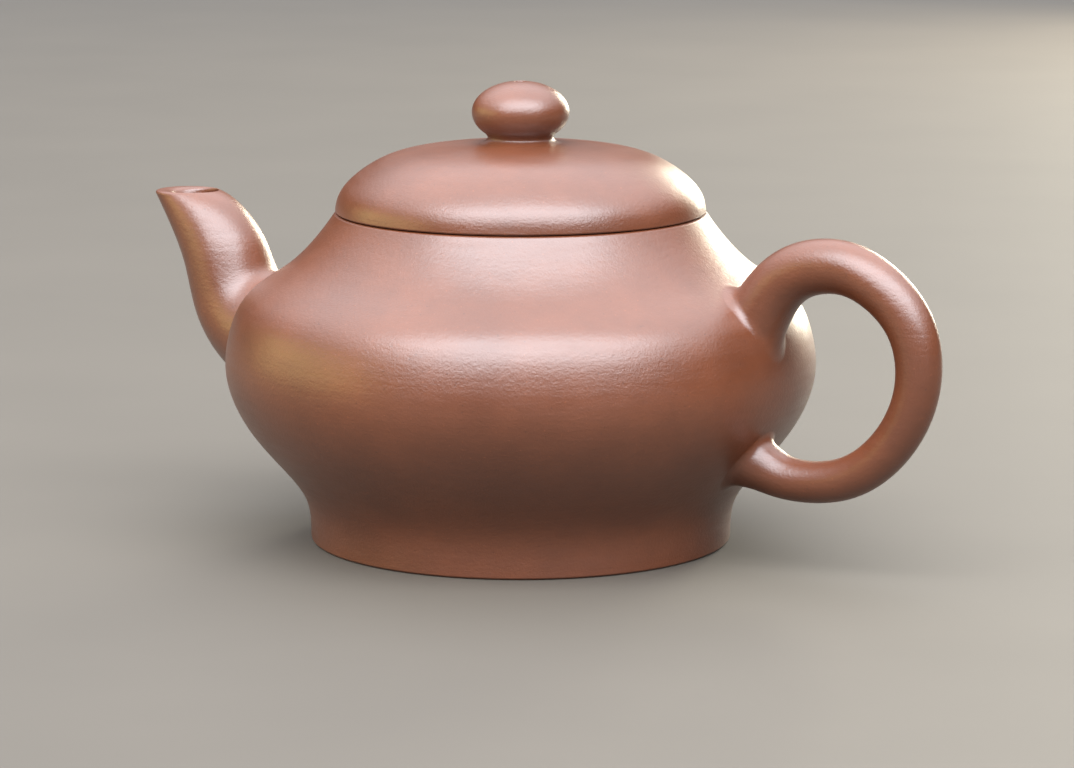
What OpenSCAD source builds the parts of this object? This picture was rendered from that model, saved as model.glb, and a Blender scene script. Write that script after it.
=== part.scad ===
// Small unglazed clay teapot with a lift-off lid, made of the pieces a potter joins:
// slabs, rings, a rolled handle, a hollow spout and a pierced strainer behind it.
// The origin is the centre of the foot on the table. +Z is up, +X points to the handle
// and -X to the spout. The pot is symmetric about the XZ plane.

/* [Pot] */
// Height from the table to the mouth, where the lid sits
pot_h = 53; // [51:0.5:55]
// Largest radius of the belly
belly_r = 47.5; // [46:0.5:49]
// Radius of the foot at the table
foot_r = 34; // [33:0.5:35]
// Outer radius of the mouth and of the lid's edge
mouth_r = 29.8; // [29.3:0.1:30.3]
// Radius of the hole that the lid's flange drops into
mouth_hole_r = 24; // [23.5:0.1:24.5]
// Thickness of the clay wall
wall = 3; // [2.6:0.1:3.2]

/* [Foot and base] */
// Height of the foot ring piece
foot_h = 8; // [7:0.5:9]
// Width of the foot ring where it stands on the table
foot_w = 4.5; // [4:0.5:5]
// Height of the underside of the base above the table
base_z = 2; // [1.5:0.5:2.5]
// Thickness of the base disc
base_t = 3; // [2.5:0.5:3.5]

/* [Lid] */
// Height of the lid from its edge to the root of the knob
lid_h = 11.1; // [10.5:0.1:11.5]
// Gap between the lid's edge and the mouth
lid_gap = 0.1; // [0.05:0.05:0.2]
// Depth of the flange that drops into the mouth
flange_depth = 6; // [5:0.5:7]
// Thickness of the flange
flange_t = 2.8; // [2.4:0.1:3]
// Clearance between the flange and the mouth all round
flange_clearance = 0.35; // [0.25:0.05:0.5]

/* [Knob] */
// Radius of the knob
knob_r = 7.8; // [7:0.1:8.5]
// Height of the knob from its lowest to its highest point
knob_t = 9.9; // [9:0.1:10.5]
// Radius of the neck under the knob
knob_neck_r = 5.1; // [4.6:0.1:5.4]
// Radius of the air hole through the knob and the lid
vent_r = 0.9; // [0.7:0.1:1.1]

/* [Spout and strainer] */
// Height of the spout's rim above the table
spout_h = 52.2; // [51.8:0.1:52.6]
// Radius of the strainer's collar, and of the hole through the wall that it fills
strainer_r = 7.5; // [7:0.1:7.8]
// Thickness of the strainer
strainer_t = 1.5; // [1.3:0.1:1.6]
// Radius of each hole in the strainer
pore_r = 0.9; // [0.7:0.1:1]

/* [Hidden] */
$fn = 120;

// Colours of the clay, which the fire leaves a little darker inside and underneath
CLAY = [0.56, 0.35, 0.25];
CLAY_DARK = [0.49, 0.30, 0.22];

// Heights at which the wall pieces meet
belly_top = 40;
shoulder_top = 46;
neck_top = 50;
base_r = foot_r - foot_w;
base_top = base_z + base_t;

// Where the strainer's dome meets its collar, just inside the belly's wall
strainer_x = 5 - belly_r;
strainer_z = 28.5;

// Height of the lid's edge, and the radii of its flange
lid_z = pot_h + lid_gap;
flange_r = mouth_hole_r - flange_clearance;
flange_in_r = flange_r - flange_t;

// Control points of the body's outline as [radius, height], from the foot to the mouth
BODY_CTRL = [
    [foot_r, 0],
    [foot_r, 5.8],
    [foot_r + 2.7, 10.4],
    [belly_r - 3.2, 18.1],
    [belly_r + 0.6, 26.5],
    [belly_r - 0.3, 33.5],
    [belly_r - 2.7, 40],
    [mouth_r + 7.7, pot_h - 9.3],
    [mouth_r + 2.9, pot_h - 4.1],
    [mouth_r + 0.8, pot_h - 1.2],
    [mouth_r, pot_h]];

// Control points of the lid's top as [radius, height over its edge], from edge to centre
LID_CTRL = [
    [mouth_r, 0],
    [mouth_r - 0.5, 3.9],
    [mouth_r - 7.4, lid_h - 2.1],
    [mouth_r - 14.2, lid_h - 0.9],
    [8, lid_h - 0.1],
    [0, lid_h]];

// Path of the handle from its upper root round to its lower root. Each row is the
// distance out from the belly's radius, the height and the radius of the roll of clay.
HANDLE_CTRL = [for (p = [
        [-7, 33, 5.4],
        [-1, 46.3, 4.4],
        [8, 49, 4.3],
        [15, 47.8, 4],
        [23.3, 41.2, 3.8],
        [24.7, 30.8, 3.5],
        [20.5, 21.5, 3.4],
        [12.2, 14.5, 3.3],
        [1, 14, 3.2],
        [-3, 16.3, 4],
        [-10, 18, 5.4]])
    p + [belly_r, 0, 0]];

// Outlines of the spout from inside the wall to past its rim. Each row is a point on the
// front of the spout, the point across from it on the back, both as distance out from
// the belly's radius and height, and the spout's half width between the two.
SPOUT_CTRL = [for (p = [
        [-11.5, 14, -11.5, 40.5, 15],
        [-1.5, 18, -3, 39, 12.5],
        [9, 22.5, 2.5, 38.5, 9],
        [15.5, 30.5, 3.5, 42, 8],
        [17, 39.5, 5, 46, 7.5],
        [21, 46.5, 10.5, 52, 6],
        [26, 54.5, 16.5, 53, 4.5]])
    spout_row(p)];

// The channel inside the spout, in the same way. It leaves upwards through the rim.
CHANNEL_CTRL = [for (p = [
        [-11.5, 21.5, -11.5, 35, 6.8],
        [-1.5, 21.5, -2.5, 35.5, 6.8],
        [7.5, 25.5, 5, 36, 6],
        [12.5, 32, 6.5, 41, 5.2],
        [14.5, 40.5, 8.5, 46, 4.8],
        [19, 47.5, 13, 51.5, 4.2],
        [23.5, 56, 15.5, 56, 3.2]])
    spout_row(p)];

// A row of the spout's outlines with the distances out turned into places along X
function spout_row(p) = [-belly_r - p[0], p[1], -belly_r - p[2], p[3], p[4]];

// Uniform cubic B-spline that starts and ends on the first and last control point
function spline(ctrl, steps) =
    let (spans = len(ctrl) - 1,
         before = 2 * ctrl[0] - ctrl[1],
         after = 2 * ctrl[spans] - ctrl[spans - 1],
         c = concat([before], ctrl, [after]))
    [for (k = [0 : steps])
        let (t = k / steps * spans, i = min(floor(t), spans - 1), u = t - i)
        (pow(1 - u, 3) * c[i] + (3 * pow(u, 3) - 6 * u * u + 4) * c[i + 1]
            + (1 + 3 * u * (1 + u - u * u)) * c[i + 2] + pow(u, 3) * c[i + 3]) / 6];

// Unit direction of a path at point k, from its first two coordinates
function heading(path, k) =
    let (a = path[max(k - 1, 0)], b = path[min(k + 1, len(path) - 1)],
         d = [b[0] - a[0], b[1] - a[1]])
    d / norm(d);

// An outline moved to the left of its own direction
function inset(path, dist) =
    [for (k = [0 : len(path) - 1])
        let (d = heading(path, k)) path[k] + dist * [-d[1], d[0]]];

function reverse(list) = [for (k = [len(list) - 1 : -1 : 0]) list[k]];

// Radius of an outline at a height
function radius_at(outline, z) = lookup(z, [for (p = outline) [p[1], p[0]]]);

// The stretch of an outline between two heights
function band(outline, z0, z1) =
    concat([[radius_at(outline, z0), z0]],
           [for (p = outline) if (p[1] > z0 + 0.1 && p[1] < z1 - 0.1) p],
           [[radius_at(outline, z1), z1]]);

BODY = spline(BODY_CTRL, 60);
BODY_IN = inset(BODY, wall);
LID = [for (p = spline(LID_CTRL, 32)) p + [0, lid_z]];

// A ring of the body's wall between two heights
module wall_ring(z0, z1) {
    rotate_extrude()
        polygon(concat(band(BODY, z0, z1), reverse(band(BODY_IN, z0, z1))));
}

// Everything inside the body's outer surface, for trimming what joins it
module body_core() {
    rotate_extrude()
        polygon(concat([[0, 0]], BODY, [[0, pot_h]]));
}

// The two outlines in the XZ plane, and the half width, of a round roll along a path
function roll(path) =
    [for (k = [0 : len(path) - 1])
        let (d = heading(path, k), p = path[k], r = p[2])
        [p[0] - r * d[1], p[1] + r * d[0], p[0] + r * d[1], p[1] - r * d[0], r]];

// A closed body of oval rings. Each row holds the two ends of a ring in the XZ plane as
// x, z, x, z, and then the ring's half width along Y.
module loft(rows, sides) {
    rings = len(rows);
    points = [for (p = rows, s = [0 : sides - 1])
        let (a = 360 * s / sides, c = cos(a))
        [(p[0] + p[2] + c * (p[0] - p[2])) / 2,
         p[4] * sin(a),
         (p[1] + p[3] + c * (p[1] - p[3])) / 2]];
    walls = [for (k = [0 : rings - 2], s = [0 : sides - 1])
        let (a = k * sides + s, b = k * sides + (s + 1) % sides)
        for (face = [[a, b, b + sides], [a, b + sides, a + sides]]) face];
    start_cap = [for (s = [sides - 1 : -1 : 0]) s];
    end_cap = [for (s = [0 : sides - 1]) (rings - 1) * sides + s];
    polyhedron(points, concat(walls, [start_cap, end_cap]));
}

module foot_ring() {
    color(CLAY)
    rotate_extrude()
        polygon(concat([[base_r, 0]], band(BODY, 0, foot_h),
                       reverse(band(BODY_IN, base_top, foot_h)), [[base_r, base_top]]));
}

module base_disc() {
    color(CLAY_DARK)
    translate([0, 0, base_z])
        cylinder(r = base_r, h = base_t);
}

module belly_wall() {
    color(CLAY)
    difference() {
        wall_ring(foot_h, belly_top);
        translate([0, 0, strainer_z])
            rotate([0, -90, 0])
                cylinder(r = strainer_r, h = 2 * belly_r);
    }
}

module shoulder_disc() {
    color(CLAY)
    wall_ring(belly_top, shoulder_top);
}

module neck_ring() {
    color(CLAY)
    wall_ring(shoulder_top, neck_top);
}

// The mouth is thickened inwards to make the ledge that the lid sits on
module mouth_rim() {
    ledge_t = 2;
    color(CLAY)
    rotate_extrude()
        polygon(concat(band(BODY, neck_top, pot_h),
                       [[mouth_hole_r, pot_h], [mouth_hole_r, pot_h - ledge_t],
                        [radius_at(BODY_IN, neck_top), neck_top]]));
}

module spout() {
    above = 20;
    color(CLAY)
    difference() {
        loft(spline(SPOUT_CTRL, 36), 32);
        loft(spline(CHANNEL_CTRL, 36), 24);
        body_core();
        translate([-2 * belly_r, -belly_r / 2, spout_h])
            cube([belly_r, belly_r, above]);
    }
}

// Half a hollow ball with rows of pores, open side down on the XY plane. Each row is
// turned a little more than the last, so that no outer pore lies on the ball's seam.
module pierced_dome(inner_r) {
    tilts = [0, 27, 52];
    pores = [1, 6, 12];
    turn = 7;
    difference() {
        sphere(r = strainer_r);
        sphere(r = inner_r);
        translate([-strainer_r, -strainer_r, -2 * strainer_r])
            cube(2 * strainer_r);
        for (row = [0 : len(tilts) - 1], k = [0 : pores[row] - 1])
            rotate([0, tilts[row], turn * row + 360 * k / pores[row]])
                translate([0, 0, inner_r - 1])
                    cylinder(r = pore_r, h = strainer_t + 2, $fn = 24);
    }
}

// The dome bulges into the pot from a collar that sits in the wall
module strainer() {
    collar_l = 2.8;
    inner_r = strainer_r - strainer_t;
    color(CLAY_DARK)
    translate([strainer_x, 0, strainer_z])
        rotate([0, 90, 0]) {
            pierced_dome(inner_r);
            translate([0, 0, -collar_l])
                difference() {
                    cylinder(r = strainer_r, h = collar_l);
                    translate([0, 0, -1])
                        cylinder(r = inner_r, h = collar_l + 2);
                }
        }
}

module handle() {
    color(CLAY)
    difference() {
        loft(roll(spline(HANDLE_CTRL, 64)), 24);
        body_core();
    }
}

// The air hole, long enough for the lid and the knob together
module vent() {
    translate([0, 0, lid_z - 1])
        cylinder(r = vent_r, h = lid_h + 2 * knob_t, $fn = 48);
}

module lid_dome() {
    inside = [for (p = inset(LID, wall)) if (p[0] >= 0 && p[0] < flange_in_r - 1) p];
    color(CLAY)
    difference() {
        rotate_extrude()
            polygon(concat(LID, reverse(inside), [[flange_in_r, lid_z]]));
        vent();
    }
}

// The flange's lower edge is rounded so that it finds the mouth
module lid_flange() {
    edge = flange_t / 2;
    color(CLAY_DARK)
    rotate_extrude()
        polygon(concat([[flange_in_r, lid_z]],
                       [for (a = [180 : 20 : 360])
                           [flange_in_r + edge + edge * cos(a),
                            lid_z - flange_depth + edge + edge * sin(a)]],
                       [[flange_r, lid_z]]));
}

// A flattened ball on a short waisted neck that stands on the top of the lid
module lid_knob() {
    root_r = 7;
    knob_z = pot_h + 16.1;
    tilt = asin(knob_neck_r / knob_r);
    root = [for (p = reverse(LID)) if (p[0] > vent_r / 2 && p[0] < root_r) p];
    ball = [for (a = [tilt : (180 - tilt) / 24 : 180])
        [knob_r * sin(a), knob_z - knob_t / 2 * cos(a)]];
    color(CLAY)
    difference() {
        rotate_extrude()
            polygon(concat([[0, LID[len(LID) - 1][1]]], root, ball));
        vent();
    }
}

foot_ring();
base_disc();
belly_wall();
shoulder_disc();
neck_ring();
mouth_rim();
spout();
strainer();
handle();
lid_dome();
lid_flange();
lid_knob();
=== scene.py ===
"""Studio picture of a small unglazed clay teapot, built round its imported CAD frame.

Sizes are millimetres and angles degrees; mesh_object() turns sizes into metres. The pot's
axis is +Z, the handle is at +X and the spout at -X. The walls, the lid and the knob are
turned from an outline, the handle and the spout are lofted and worked into the body's
surface with a fillet, and the strainer is the CAD piece with a new material.
"""

import math

import bmesh
import bpy
import numpy as np
from mathutils import Matrix, Vector


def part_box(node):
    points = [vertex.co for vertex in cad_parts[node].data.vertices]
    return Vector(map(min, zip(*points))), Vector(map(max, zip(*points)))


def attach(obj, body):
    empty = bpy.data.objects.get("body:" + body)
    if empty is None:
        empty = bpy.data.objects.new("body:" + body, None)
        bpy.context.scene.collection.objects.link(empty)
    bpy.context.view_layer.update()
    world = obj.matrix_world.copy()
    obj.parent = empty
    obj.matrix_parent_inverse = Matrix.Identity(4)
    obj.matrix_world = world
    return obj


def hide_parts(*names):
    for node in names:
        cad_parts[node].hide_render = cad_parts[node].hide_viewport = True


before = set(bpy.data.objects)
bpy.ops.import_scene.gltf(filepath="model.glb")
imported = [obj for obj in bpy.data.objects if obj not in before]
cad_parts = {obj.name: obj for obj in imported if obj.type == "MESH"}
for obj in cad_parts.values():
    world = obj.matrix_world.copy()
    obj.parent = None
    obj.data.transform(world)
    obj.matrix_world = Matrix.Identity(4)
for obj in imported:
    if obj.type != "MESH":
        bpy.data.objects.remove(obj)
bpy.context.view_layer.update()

MM = 0.001

# Driving dimensions, the same as the CAD part's
POT_H = 53.0
BELLY_R = 47.5
FOOT_R = 34.0
MOUTH_R = 29.8
MOUTH_HOLE_R = 24.0
WALL = 3.0
BASE_R = FOOT_R - 4.5
LEDGE_T = 2.0
LID_H = 11.1
FLANGE_T = 2.8
FLANGE_R = MOUTH_HOLE_R - 0.35
FLANGE_IN_R = FLANGE_R - FLANGE_T
KNOB_R = 7.8
KNOB_T = 9.9
VENT_R = 0.9


def low(node):
    """Height of a CAD node's lowest point."""
    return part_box(node)[0].z / MM


def high(node):
    """Height of a CAD node's highest point."""
    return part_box(node)[1].z / MM


FOOT_H = high("foot_ring")
BASE_Z = low("base_disc")
BASE_TOP = high("base_disc")
BELLY_TOP = high("belly_wall")
SHOULDER_TOP = high("shoulder_disc")
NECK_TOP = high("neck_ring")
LID_Z = low("lid_dome")
FLANGE_Z = low("lid_flange")
KNOB_Z = high("lid_knob") - KNOB_T / 2
SPOUT_H = high("spout")
STRAINER_Z = (low("strainer") + high("strainer")) / 2
STRAINER_R = (high("strainer") - low("strainer")) / 2

# Fineness of the meshes: places round a turned piece and round a loft, and steps along curves
TURNS = 240
COLUMNS = 96
BODY_STEPS = 450
LID_STEPS = 260
LOFT_STEPS = 700
NECK_STEPS = 40
BALL_STEPS = 70

# How deep joined pieces sink into each other, and the bare ends left on an outline's stretch
SINK = 0.03
MARGIN = 0.1

# Normals this close to a surface's own, in degrees, are taken as that surface's
SNAP_ANGLE = 30

# Control points of the body's outline as [radius, height], from the foot to the mouth
BODY_CTRL = [
    [FOOT_R, 0],
    [FOOT_R, 5.8],
    [FOOT_R + 2.7, 10.4],
    [BELLY_R - 3.2, 18.1],
    [BELLY_R + 0.6, 26.5],
    [BELLY_R - 0.3, 33.5],
    [BELLY_R - 2.7, 40],
    [MOUTH_R + 7.7, POT_H - 9.3],
    [MOUTH_R + 2.9, POT_H - 4.1],
    [MOUTH_R + 0.8, POT_H - 1.2],
    [MOUTH_R, POT_H]]

# The lid's top as [radius, height over its edge], from its edge to its centre
LID_CTRL = [
    [MOUTH_R, 0],
    [MOUTH_R - 0.5, 3.9],
    [MOUTH_R - 7.4, LID_H - 2.1],
    [MOUTH_R - 14.2, LID_H - 0.9],
    [8, LID_H - 0.1],
    [0, LID_H]]

# The handle's path: distance out from the belly's radius, height, radius of the roll
HANDLE_CTRL = [
    [-7, 33, 5.4],
    [-1, 46.3, 4.4],
    [8, 49, 4.3],
    [15, 47.8, 4],
    [23.3, 41.2, 3.8],
    [24.7, 30.8, 3.5],
    [20.5, 21.5, 3.4],
    [12.2, 14.5, 3.3],
    [1, 14, 3.2],
    [-3, 16.3, 4],
    [-10, 18, 5.4]]

# The spout's rings: a point on its front and the one across on its back, both as distance
# out from the belly's radius and height, then the half width between them
SPOUT_CTRL = [
    [-11.5, 14, -11.5, 40.5, 15],
    [-1.5, 18, -3, 39, 12.5],
    [9, 22.5, 2.5, 38.5, 9],
    [15.5, 30.5, 3.5, 42, 8],
    [17, 39.5, 5, 46, 7.5],
    [21, 46.5, 10.5, 52, 6],
    [26, 54.5, 16.5, 53, 4.5]]

# The knob's neck as [radius, height over its root], from the lid's top to the ball
NECK_CTRL = [
    [8.2, 0],
    [6.7, 0.1],
    [5.7, 0.45],
    [5.05, 1.05]]

# The channel inside the spout, in the same way
CHANNEL_CTRL = [
    [-11.5, 21.5, -11.5, 35, 6.8],
    [-1.5, 21.5, -2.5, 35.5, 6.8],
    [7.5, 25.5, 5, 36, 6],
    [12.5, 32, 6.5, 41, 5.2],
    [14.5, 40.5, 8.5, 46, 4.8],
    [19, 47.5, 13, 51.5, 4.2],
    [23.5, 56, 15.5, 56, 3.2]]


# ---- Outlines ------------------------------------------------------------------------

def spline(ctrl, steps):
    """Uniform cubic B-spline that starts and ends on the first and last control point."""
    ctrl = np.array(ctrl, float)
    spans = len(ctrl) - 1
    c = np.vstack([2 * ctrl[0] - ctrl[1], ctrl, 2 * ctrl[-1] - ctrl[-2]])
    t = np.linspace(0, spans, steps + 1)
    i = np.minimum(t.astype(int), spans - 1)
    u = (t - i)[:, None]
    return ((1 - u) ** 3 * c[i] + (3 * u**3 - 6 * u**2 + 4) * c[i + 1]
            + (1 + 3 * u * (1 + u - u * u)) * c[i + 2] + u**3 * c[i + 3]) / 6


def outward(outline):
    """Unit normals of a [radius, height] outline that runs upwards."""
    d = np.gradient(outline, axis=0)
    n = np.column_stack([d[:, 1], -d[:, 0]])
    return n / np.linalg.norm(n, axis=1)[:, None]


def radius_at(outline, z):
    """Radius of an outline at a height."""
    return np.interp(z, outline[:, 1], outline[:, 0])


def height_at(outline, r):
    """Height of a lid outline, which runs inwards, at a radius."""
    return np.interp(r, outline[::-1, 0], outline[::-1, 1])


def band(outline, z0, z1):
    """The stretch of an outline between two heights, with every second of its points."""
    inside = outline[(outline[:, 1] > z0 + MARGIN) & (outline[:, 1] < z1 - MARGIN)]
    ends = [[radius_at(outline, z), z] for z in (z0, z1)]
    return np.vstack([ends[:1], inside[::2], ends[1:]])


def bend(a, corner, b, steps=8):
    """A round turn from a to b that is tangent to both lines through the corner."""
    s = np.linspace(0, 1, steps + 1)[:, None]
    a, corner, b = (np.array(p, float) for p in (a, corner, b))
    return (1 - s) ** 2 * a + 2 * s * (1 - s) * corner + s**2 * b


def towards(a, b, dist):
    """The point at a distance from a on the way to b."""
    a, b = np.array(a, float), np.array(b, float)
    return a + (b - a) * dist / np.linalg.norm(b - a)


def soften(outline, corners):
    """A closed outline with the corners nearest to some points rounded by some sizes."""
    outline = [np.array(p, float) for p in outline]
    sizes = {}
    for point, size in corners:
        k = int(np.argmin([np.hypot(*(p - np.array(point))) for p in outline]))
        sizes[k] = (outline[k], size)
    made = []
    for k, p in enumerate(outline):
        if k in sizes:
            before = next(outline[j] for j in range(k - 1, k - len(outline), -1)
                          if np.hypot(*(outline[j] - p)) >= sizes[k][1])
            after = next(outline[j % len(outline)] for j in range(k + 1, k + len(outline))
                         if np.hypot(*(outline[j % len(outline)] - p)) >= sizes[k][1])
            made.extend(bend(towards(p, before, sizes[k][1]), p,
                             towards(p, after, sizes[k][1])))
        elif all(np.hypot(*(p - c)) > size for c, size in sizes.values()):
            made.append(p)
    return np.array(made)


BODY = spline(BODY_CTRL, BODY_STEPS)
BODY_IN = BODY - WALL * outward(BODY)
LID = spline(LID_CTRL, LID_STEPS) + [0, LID_Z]
LID_IN = LID - WALL * outward(LID)


# ---- Meshes --------------------------------------------------------------------------

def mesh_object(name, points, faces):
    """A closed mesh with its normals outwards."""
    bm = bmesh.new()
    verts = [bm.verts.new(p) for p in np.asarray(points, float) * MM]
    for face in faces:
        bm.faces.new([verts[i] for i in face])
    bmesh.ops.recalc_face_normals(bm, faces=bm.faces)
    mesh = bpy.data.meshes.new(name)
    bm.to_mesh(mesh)
    bm.free()
    obj = bpy.data.objects.new(name, mesh)
    bpy.context.scene.collection.objects.link(obj)
    return obj


def turned(name, outline):
    """A closed outline of [radius, height] turned about the pot's axis."""
    index, points = [], []
    angles = np.arange(TURNS) * 2 * math.pi / TURNS
    for r, z in outline:
        if r < 1e-6:
            index.append([len(points)] * TURNS)
            points.append([0, 0, z])
        else:
            index.append(range(len(points), len(points) + TURNS))
            points.extend(np.column_stack([r * np.cos(angles), r * np.sin(angles),
                                           np.full(TURNS, z)]))
    faces = []
    for k in range(len(outline)):
        a, b = index[k], index[(k + 1) % len(outline)]
        for s in range(TURNS):
            t = (s + 1) % TURNS
            face = list(dict.fromkeys([a[s], a[t], b[t], b[s]]))
            if len(face) > 2:
                faces.append(face)
    return mesh_object(name, points, faces)


def nearest_normals(points, outline):
    """Distance to, and normals of, the nearest spots of a turned outline."""
    rz = np.column_stack([np.hypot(points[:, 0], points[:, 1]), points[:, 2]])
    nearest = np.concatenate([
        np.argmin(((part[:, None] - outline[None]) ** 2).sum(2), axis=1)
        for part in np.array_split(rz, max(1, len(rz) // 4000))])
    n = outward(outline)[nearest]
    off = np.abs(((rz - outline[nearest]) * n).sum(1))
    away = points[:, :2] / np.maximum(rz[:, :1], 1e-9)
    return off, np.column_stack([away * n[:, :1], n[:, 1]])


def shade(obj, outline, corner=35):
    """Smooth shading that keeps corners. Near the outline's surface the normals are that
    surface's own, so pieces that meet on it look like one wall."""
    mesh = obj.data
    mesh.shade_smooth()
    mesh.set_sharp_from_angle(angle=math.radians(corner))
    found = np.zeros(len(mesh.loops) * 3, np.float32)
    mesh.corner_normals.foreach_get("vector", found)
    found = found.reshape(-1, 3)
    places = np.zeros(len(mesh.vertices) * 3)
    mesh.vertices.foreach_get("co", places)
    corners = np.zeros(len(mesh.loops), int)
    mesh.loops.foreach_get("vertex_index", corners)
    off, true = nearest_normals(places.reshape(-1, 3) / MM, outline)
    off, true = off[corners], true[corners]
    snap = (off < 2 * SINK) & ((found * true).sum(1) > math.cos(math.radians(SNAP_ANGLE)))
    found[snap] = true[snap]
    mesh.normals_split_custom_set(found.tolist())
    return obj


def cut_hole(obj, radius, x, z):
    """Cuts a round hole along X through obj, centred at x and z."""
    bm = bmesh.new()
    bmesh.ops.create_cone(bm, cap_ends=True, segments=COLUMNS, radius1=radius * MM,
                          radius2=radius * MM, depth=20 * MM)
    bmesh.ops.rotate(bm, verts=bm.verts, matrix=Matrix.Rotation(math.pi / 2, 3, "Y"))
    bmesh.ops.translate(bm, verts=bm.verts, vec=(x * MM, 0, z * MM))
    mesh = bpy.data.meshes.new("cutter")
    bm.to_mesh(mesh)
    bm.free()
    cutter = bpy.data.objects.new("cutter", mesh)
    bpy.context.scene.collection.objects.link(cutter)
    cut = obj.modifiers.new("hole", "BOOLEAN")
    cut.object = cutter
    cut.operation = "DIFFERENCE"
    cut.solver = "EXACT"
    depsgraph = bpy.context.evaluated_depsgraph_get()
    holed = bpy.data.meshes.new_from_object(obj.evaluated_get(depsgraph))
    obj.modifiers.clear()
    obj.data = holed
    holed.name = obj.name
    bpy.data.objects.remove(cutter)


# ---- Lofts ---------------------------------------------------------------------------

def columns_of(rows):
    """The lines that run along a loft, one for each place round its rings.
    A row is the two ends of a ring as x, z, x, z, and its half width along Y."""
    a = np.arange(COLUMNS)[:, None] * 2 * math.pi / COLUMNS
    x = (rows[:, 0] + rows[:, 2] + np.cos(a) * (rows[:, 0] - rows[:, 2])) / 2
    z = (rows[:, 1] + rows[:, 3] + np.cos(a) * (rows[:, 1] - rows[:, 3])) / 2
    y = rows[:, 4] * np.sin(a)
    return np.stack([x, y, z], axis=2)


def roll_rows(path):
    """Rows for columns_of() of a round roll along a path of x, z and radius."""
    d = np.gradient(path[:, :2], axis=0)
    d = d / np.linalg.norm(d, axis=1)[:, None]
    side = np.column_stack([-d[:, 1], d[:, 0]]) * path[:, 2:]
    return np.column_stack([path[:, :2] + side, path[:, :2] - side, path[:, 2]])


def outside_body(points):
    """How far points stand out from the body's surface, measured level."""
    return np.hypot(points[:, 0], points[:, 1]) - radius_at(BODY, points[:, 2])


def between(line, room):
    """The first stretch of a line on which room is above zero, with exact ends."""
    start = int(np.argmax(room > 0))
    rest = room[start:] <= 0
    stop = start + (int(np.argmax(rest)) if rest.any() else len(rest))

    def crossing(i):
        share = room[i] / (room[i] - room[i + 1])
        return line[i] + share * (line[i + 1] - line[i])

    parts = [[crossing(start - 1)], line[start:stop]]
    if stop < len(line):
        parts.append([crossing(stop - 1)])
    return np.vstack(parts)


def stretch(line, start, end, steps):
    """Evenly spaced points on a line, between distances from its start and its end."""
    run = np.concatenate([[0], np.cumsum(np.linalg.norm(np.diff(line, axis=0), axis=1))])
    at = np.linspace(start, run[-1] - end, steps)
    return np.column_stack([np.interp(at, run, line[:, k]) for k in range(3)])


def fillet_sizes(roots, side, highest, lowest):
    """Fillet size at each root, from its size at the sides to those at both tips."""
    z = roots[:, 2]
    middle = (z.max() + z.min()) / 2
    tip = (z - middle) / (z.max() - middle)
    return side + np.where(tip > 0, highest - side, lowest - side) * tip**4


def skirt(roots, sizes):
    """Where fillets of some sizes meet the body, for each column's root on the body."""
    along = np.roll(roots, -1, axis=0) - np.roll(roots, 1, axis=0)
    normals = nearest_normals(roots, BODY)[1]
    across = np.cross(normals, along)
    across /= np.linalg.norm(across, axis=1)[:, None]
    if ((roots - roots.mean(axis=0)) * across).sum() < 0:
        across = -across
    met = roots + sizes[:, None] * across
    level = np.hypot(met[:, 0], met[:, 1])
    met[:, :2] *= ((radius_at(BODY, met[:, 2]) - SINK) / level)[:, None]
    return met


def grid_faces(across, along, closed):
    """Quads of a grid of columns that closes round, and along too if asked."""
    return [[s * along + k, t * along + k, t * along + m, s * along + m]
            for s in range(across) for t in [(s + 1) % across]
            for k in range(along if closed else along - 1) for m in [(k + 1) % along]]


# ---- Clay ----------------------------------------------------------------------------

# Sizes of the clay's features in millimetres
MOTTLE = 14
CLOUD = 2.2
GRAIN = 0.42
PIT = 0.55
MARK = 9
WRINKLE = 0.85
SKIN = 0.32
PATINA = 20

# Depths of the clay's relief in millimetres
MARK_DEPTH = 0.030
WRINKLE_DEPTH = 0.042
SKIN_DEPTH = 0.032
GRAIN_DEPTH = 0.012

# How much the tool's marks and the patina each change the roughness, up or down
MARK_WEAR = 0.035
PATINA_WEAR = 0.03


def node(tree, kind, inputs=(), **settings):
    """A new node with its settings and inputs; an input may be a value or a socket."""
    made = tree.nodes.new(kind)
    for key, value in settings.items():
        setattr(made, key, value)
    for key, value in dict(inputs).items():
        if isinstance(value, bpy.types.NodeSocket):
            tree.links.new(value, made.inputs[key])
        else:
            made.inputs[key].default_value = value
    return made


def noise(tree, where, size, stretch_z=1.0, detail=3.0):
    """Noise with features of about a size in millimetres, flattened along Z if asked."""
    scaled = node(tree, "ShaderNodeMapping", {"Vector": where, "Scale": (1, 1, stretch_z)})
    return node(tree, "ShaderNodeTexNoise", {
        "Vector": scaled.outputs[0], "Scale": 1 / (size * MM), "Detail": detail}).outputs[0]


def ramp(tree, value, stops):
    """A colour ramp from (position, colour) stops."""
    made = node(tree, "ShaderNodeValToRGB", {"Fac": value})
    elements = made.color_ramp.elements
    while len(elements) < len(stops):
        elements.new(0.5)
    for element, (position, colour) in zip(elements, stops):
        element.position = position
        element.color = (*colour, 1)
    return made.outputs[0]


def spread(tree, value, low_in, high_in, low_out, high_out):
    """A value carried from one range to another and held inside it."""
    return node(tree, "ShaderNodeMapRange", {
        "Value": value, "From Min": low_in, "From Max": high_in,
        "To Min": low_out, "To Max": high_out}).outputs[0]


def mixed(tree, factor, a, b):
    """Two colours mixed."""
    made = node(tree, "ShaderNodeMix", data_type="RGBA")
    for key, value in ((0, factor), (6, a), (7, b)):
        if isinstance(value, bpy.types.NodeSocket):
            tree.links.new(value, made.inputs[key])
        else:
            made.inputs[key].default_value = value
    return made.outputs[2]


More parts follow.
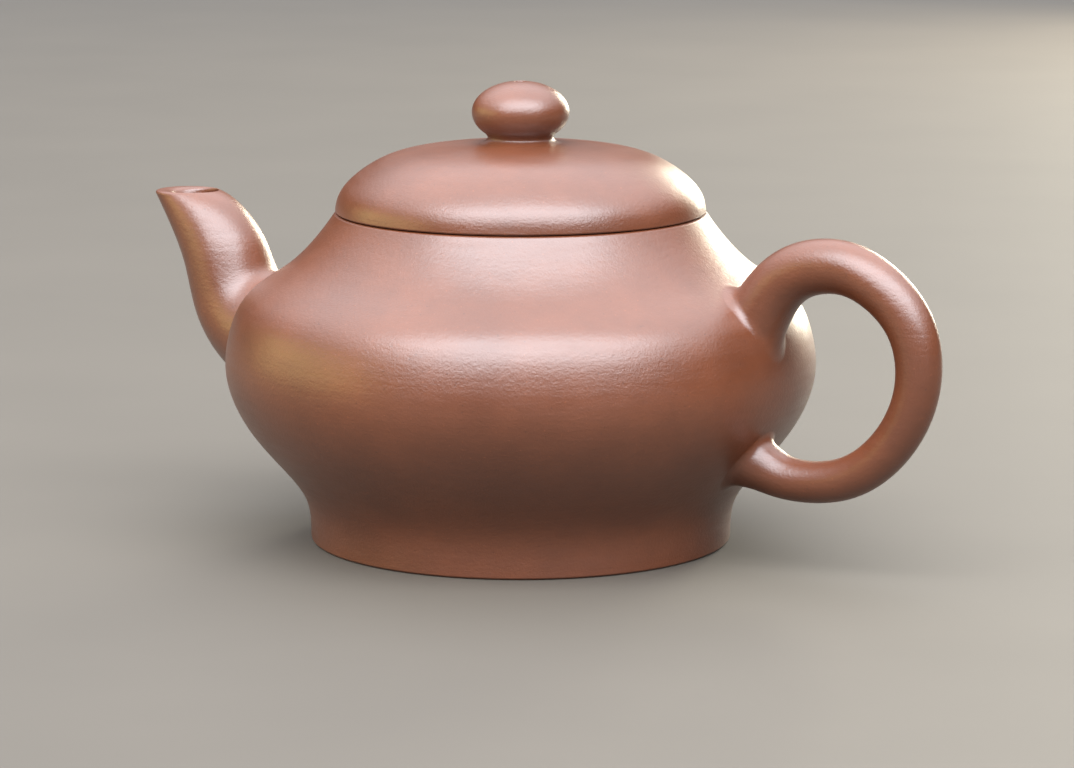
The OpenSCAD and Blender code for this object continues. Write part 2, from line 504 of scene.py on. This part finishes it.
def speckled(tree, colour, value, start, full, most, tint):
    """A colour with a tint mixed in, from none at a value's start to the most at its full."""
    return mixed(tree, spread(tree, value, start, full, 0, most), colour, (*tint, 1))


def shaded(colour, share):
    """A share of a colour's brightness."""
    return [c * share for c in colour]


def clay(name, deep, fair, rough):
    """Fired unglazed clay: mottled brown with pale and dark grains, fine pear-skin
    wrinkles and the level marks of the potter's smoothing tool."""
    material = bpy.data.materials.new(name)
    material.use_nodes = True
    tree = material.node_tree
    shader = tree.nodes["Principled BSDF"]
    where = node(tree, "ShaderNodeTexCoord").outputs["Object"]

    mottle = noise(tree, where, MOTTLE, detail=4)
    colour = ramp(tree, mottle, [(0.32, deep), (0.68, fair)])
    clouds = noise(tree, where, CLOUD, stretch_z=1.6, detail=5)
    colour = speckled(tree, colour, clouds, 0.3, 0.7, 0.22, shaded(deep, 0.72))
    grains = noise(tree, where, GRAIN, detail=1)
    colour = speckled(tree, colour, grains, 0.71, 0.78, 0.35, shaded(fair, 1.9))
    pits = noise(tree, where, PIT, stretch_z=1.2, detail=1)
    colour = speckled(tree, colour, pits, 0.30, 0.22, 0.5, shaded(deep, 0.45))
    tree.links.new(colour, shader.inputs["Base Color"])

    marks = noise(tree, where, MARK, stretch_z=9, detail=4)
    wrinkles = noise(tree, where, WRINKLE, stretch_z=1.6, detail=3)
    skin = noise(tree, where, SKIN, detail=3)
    patina = noise(tree, where, PATINA, detail=2)
    worn = node(tree, "ShaderNodeMath", {
        0: spread(tree, marks, 0.3, 0.7, rough - MARK_WEAR, rough + MARK_WEAR),
        1: spread(tree, patina, 0.3, 0.7, -PATINA_WEAR, PATINA_WEAR)}, operation="ADD")
    tree.links.new(worn.outputs[0], shader.inputs["Roughness"])
    shader.inputs["Specular IOR Level"].default_value = 0.75
    shader.inputs["Coat Weight"].default_value = 0.2
    shader.inputs["Coat Roughness"].default_value = 0.32

    height = None
    for value, depth in ((marks, MARK_DEPTH), (wrinkles, WRINKLE_DEPTH), (skin, SKIN_DEPTH),
                         (grains, GRAIN_DEPTH)):
        part = node(tree, "ShaderNodeMath", {0: value, 1: depth}, operation="MULTIPLY")
        height = part.outputs[0] if height is None else node(
            tree, "ShaderNodeMath", {0: height, 1: part.outputs[0]}).outputs[0]
    bump = node(tree, "ShaderNodeBump", {
        "Height": height, "Strength": 1.0, "Distance": MM})
    tree.links.new(bump.outputs[0], shader.inputs["Normal"])
    return material


RED_CLAY = clay("red_clay", deep=(0.102, 0.027, 0.0090),
                fair=(0.135, 0.037, 0.0130), rough=0.37)
DARK_CLAY = clay("red_clay_dark", deep=(0.089, 0.024, 0.0085),
                 fair=(0.118, 0.032, 0.0120), rough=0.52)


def keep(obj, body, slot, material, *nodes):
    """Gives a piece its material and body, and hides the CAD nodes it stands for. The slot
    argument is not used.
    """
    obj.data.materials.append(material)
    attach(obj, body)
    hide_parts(*nodes)


# ---- Pot -----------------------------------------------------------------------------

def wall_outline(z0, z1):
    """Section of the body's wall between two heights."""
    return np.vstack([band(BODY, z0, z1), band(BODY_IN, z0, z1)[::-1]])


def foot_ring():
    outline = np.vstack([[[BASE_R, 0]], band(BODY, 0, FOOT_H),
                         band(BODY_IN, BASE_TOP, FOOT_H)[::-1], [[BASE_R, BASE_TOP]]])
    outline = soften(outline, [((BASE_R, 0), 0.9), ((BODY[0][0], 0), 0.8)])
    foot = shade(turned("foot_ring_clay", outline), BODY)
    keep(foot, "pot", "red_clay", RED_CLAY, "foot_ring")


def base_disc():
    fillet = 1.0
    underside = bend((BASE_R - fillet, BASE_Z), (BASE_R, BASE_Z), (BASE_R, BASE_Z - fillet))
    outline = np.vstack([[[0, BASE_Z]], underside, [[BASE_R, BASE_TOP], [0, BASE_TOP]]])
    base = shade(turned("base_disc_clay", outline), BODY)
    keep(base, "pot", "red_clay_dark", DARK_CLAY, "base_disc")


def belly_wall():
    belly = turned("belly_wall_clay", wall_outline(FOOT_H, BELLY_TOP))
    cut_hole(belly, STRAINER_R, -BELLY_R, STRAINER_Z)
    shade(belly, BODY)
    keep(belly, "pot", "red_clay", RED_CLAY, "belly_wall")


def upper_walls():
    for name, z0, z1 in (("shoulder_disc", BELLY_TOP, SHOULDER_TOP),
                         ("neck_ring", SHOULDER_TOP, NECK_TOP)):
        wall = shade(turned(name + "_clay", wall_outline(z0, z1)), BODY)
        keep(wall, "pot", "red_clay", RED_CLAY, name)


def mouth_rim():
    outline = np.vstack([
        band(BODY, NECK_TOP, POT_H),
        [[MOUTH_HOLE_R, POT_H], [MOUTH_HOLE_R, POT_H - LEDGE_T],
         [radius_at(BODY_IN, NECK_TOP), NECK_TOP]]])
    outline = soften(outline, [((MOUTH_R, POT_H), 0.55), ((MOUTH_HOLE_R, POT_H), 0.5),
                               ((MOUTH_HOLE_R, POT_H - LEDGE_T), 0.5)])
    rim = shade(turned("mouth_rim_clay", outline), BODY)
    keep(rim, "pot", "red_clay", RED_CLAY, "mouth_rim")


def handle():
    """The handle's roll of clay, with a small fillet at both ends."""
    side = 1.5
    along = 170
    path = spline(HANDLE_CTRL, LOFT_STEPS) + [BELLY_R, 0, 0]
    lines = [between(line, outside_body(line)) for line in columns_of(roll_rows(path))]
    first = np.array([line[0] for line in lines])
    last = np.array([line[-1] for line in lines])
    top = fillet_sizes(first, side, highest=3.2, lowest=4.0)
    bottom = fillet_sizes(last, side, highest=2.2, lowest=2.2)
    columns = []
    for line, a, start, b, end in zip(lines, top, skirt(first, top), bottom,
                                      skirt(last, bottom)):
        middle = stretch(line, a, b, along)
        columns.append(np.vstack([bend(start, line[0], middle[0])[:-1], middle,
                                  bend(middle[-1], line[-1], end)[1:]]))
    columns = np.array(columns)
    rings = columns.shape[1]
    points = list(columns.reshape(-1, 3))
    faces = grid_faces(COLUMNS, rings, closed=False)
    for k in (0, rings - 1):
        centre = columns[:, k].mean(axis=0)
        level = np.hypot(centre[0], centre[1])
        centre[:2] *= (radius_at(BODY, centre[2]) - WALL / 2) / level
        points.append(centre)
        faces += [[s * rings + k, (s + 1) % COLUMNS * rings + k, len(points) - 1]
                  for s in range(COLUMNS)]
    roll = shade(mesh_object("handle_clay", points, faces), BODY, corner=50)
    keep(roll, "pot", "red_clay", RED_CLAY, "handle")


def spout():
    """The hollow spout: up its outside, over a rounded lip and down its channel."""
    fillet = 1.7
    lip = 0.7
    along = 120
    shift = [-BELLY_R, 0, -BELLY_R, 0, 0]
    flip = [-1, 1, -1, 1, 1]
    skins = []
    for ctrl in (SPOUT_CTRL, CHANNEL_CTRL):
        rows = spline(ctrl, LOFT_STEPS) * flip + shift
        skins.append([between(line, np.minimum(outside_body(line), SPOUT_H - line[:, 2]))
                      for line in columns_of(rows)])
    outer, inner = skins
    roots = np.array([line[0] for line in outer])
    columns = []
    for up, down, start in zip(outer, inner, skirt(roots, np.full(COLUMNS, fillet))):
        crest = (up[-1] + down[-1]) / 2
        rise = stretch(up, fillet, lip, along)
        fall = stretch(down, 0, lip, along)[::-1]
        columns.append(np.vstack([
            bend(start, up[0], rise[0])[:-1], rise,
            bend(rise[-1], up[-1], crest)[1:], bend(crest, down[-1], fall[0])[1:-1], fall]))
    columns = np.array(columns)
    faces = grid_faces(COLUMNS, columns.shape[1], closed=True)
    tube = shade(mesh_object("spout_clay", columns.reshape(-1, 3), faces), BODY, corner=60)
    keep(tube, "pot", "red_clay", RED_CLAY, "spout")


def strainer():
    """The pierced dome is the CAD piece itself."""
    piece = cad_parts["strainer"]
    piece.data.materials.clear()
    piece.data.materials.append(DARK_CLAY)


# ---- Lid -----------------------------------------------------------------------------

def lid_dome():
    top = LID[LID[:, 0] > VENT_R][::2]
    inside = LID_IN[(LID_IN[:, 0] > VENT_R) & (LID_IN[:, 0] < FLANGE_IN_R - 1)][::2]
    outline = np.vstack([top, [[VENT_R, height_at(LID, VENT_R)],
                               [VENT_R, height_at(LID_IN, VENT_R)]],
                         inside[::-1], [[FLANGE_IN_R, LID_Z]]])
    outline = soften(outline, [((MOUTH_R, LID_Z), 0.6)])
    dome = shade(turned("lid_dome_clay", outline), LID)
    keep(dome, "lid", "red_clay", RED_CLAY, "lid_dome")


def lid_flange():
    outline = [[FLANGE_IN_R, LID_Z], [FLANGE_IN_R, FLANGE_Z],
               [FLANGE_R, FLANGE_Z], [FLANGE_R, LID_Z]]
    edge = FLANGE_T / 2 - 0.1
    outline = soften(outline, [(outline[1], edge), (outline[2], edge)])
    flange = shade(turned("lid_flange_clay", outline), LID)
    keep(flange, "lid", "red_clay_dark", DARK_CLAY, "lid_flange")


def lid_knob():
    """A flattened ball on a waisted neck that runs out into the lid's top."""
    root_r = NECK_CTRL[0][0]
    join_r = 5.7
    root_z = height_at(LID, root_r) - SINK
    tilt = math.asin(join_r / KNOB_R)
    hole = math.pi - math.asin(VENT_R / KNOB_R)
    turn = np.linspace(tilt, hole, BALL_STEPS)
    ball = np.column_stack([KNOB_R * np.sin(turn), KNOB_Z - KNOB_T / 2 * np.cos(turn)])
    neck = spline([[r, root_z + z] for r, z in NECK_CTRL] + [list(ball[0])], NECK_STEPS)
    foot = LID[(LID[:, 0] < root_r - 0.3) & (LID[:, 0] > VENT_R)][::-1] - [0, SINK]
    outline = np.vstack([[[VENT_R, foot[0][1]]], foot, neck[:-1], ball])
    outline = soften(outline, [(ball[-1], 0.25)])
    knob = shade(turned("lid_knob_clay", outline), LID)
    keep(knob, "lid", "red_clay", RED_CLAY, "lid_knob")


# ---- Studio --------------------------------------------------------------------------

VIEW_TURN = 32.0
VIEW_DISTANCE = 652.3
VIEW_HEIGHT = 139.0
VIEW_DOWN = 9.92
VIEW_PAN = 0.231
VIEW_LENS = 137.35
VIEW_SENSOR = 36.0

# Height on the pot's axis that the lamps look at, and the colours of the light
LAMP_AIM = 35
DAYLIGHT = (0.88, 0.93, 1.0)
SUNLIGHT = (1.0, 0.93, 0.74)
LAMPLIGHT = (1.0, 0.84, 0.40)
PAPER_DEEP = (0.082, 0.069, 0.054)
PAPER_FAIR = (0.088, 0.074, 0.058)


def spot(right, back, up):
    """A place given as seen by the camera: to the right of the pot, behind it, above."""
    turn = math.radians(VIEW_TURN)
    return np.array([right * math.cos(turn) - back * math.sin(turn),
                     right * math.sin(turn) + back * math.cos(turn), up]) * MM


def camera():
    data = bpy.data.cameras.new("camera")
    data.lens = VIEW_LENS
    data.sensor_width = VIEW_SENSOR
    eye = bpy.data.objects.new("camera", data)
    eye.location = spot(0, -VIEW_DISTANCE, VIEW_HEIGHT)
    eye.rotation_euler = (math.radians(90 - VIEW_DOWN), 0, math.radians(VIEW_TURN - VIEW_PAN))
    bpy.context.scene.collection.objects.link(eye)
    bpy.context.scene.camera = eye


def floor():
    size = 4000
    ground = mesh_object("floor", [[-size, -size, 0], [size, -size, 0], [size, size, 0],
                                   [-size, size, 0]], [[0, 1, 2, 3]])
    material = bpy.data.materials.new("floor_paper")
    material.use_nodes = True
    tree = material.node_tree
    where = node(tree, "ShaderNodeTexCoord").outputs["Object"]
    tone = ramp(tree, noise(tree, where, 60),
                [(0.3, PAPER_DEEP), (0.7, PAPER_FAIR)])
    shader = tree.nodes["Principled BSDF"]
    tree.links.new(tone, shader.inputs["Base Color"])
    shader.inputs["Roughness"].default_value = 0.7
    ground.data.materials.append(material)


def lamp(name, place, size, watts, colour):
    """A soft oblong lamp that looks at a point on the pot's axis."""
    data = bpy.data.lights.new(name, "AREA")
    data.shape = "RECTANGLE"
    data.size, data.size_y = (s * MM for s in size)
    data.energy = watts
    data.color = colour
    obj = bpy.data.objects.new(name, data)
    obj.location = place
    back = obj.location - Vector((0, 0, LAMP_AIM * MM))
    obj.rotation_euler = back.to_track_quat("Z", "Y").to_euler()
    bpy.context.scene.collection.objects.link(obj)


def lights():
    lamp("key", spot(20, -660, 900), (1900, 1000), 45, DAYLIGHT)
    lamp("rim", spot(450, 920, 220), (300, 400), 7.5, SUNLIGHT)
    lamp("side", spot(-900, 0, 200), (1000, 300), 2.4, LAMPLIGHT)
    world = bpy.data.worlds.new("room")
    world.use_nodes = True
    tree = world.node_tree
    up = node(tree, "ShaderNodeSeparateXYZ", {
        0: node(tree, "ShaderNodeTexCoord").outputs["Generated"]}).outputs["Z"]
    dome = node(tree, "ShaderNodeMapRange", {
        "Value": up, "From Min": 0.25, "From Max": 0.85, "To Min": 0.02, "To Max": 3.4},
        interpolation_type="SMOOTHSTEP")
    tree.nodes["Background"].inputs["Color"].default_value = (*DAYLIGHT, 1)
    tree.links.new(dome.outputs[0], tree.nodes["Background"].inputs["Strength"])
    bpy.context.scene.world = world


foot_ring()
base_disc()
belly_wall()
upper_walls()
mouth_rim()
handle()
spout()
strainer()
lid_dome()
lid_flange()
lid_knob()
camera()
floor()
lights()
bpy.context.scene.view_settings.view_transform = "Standard"
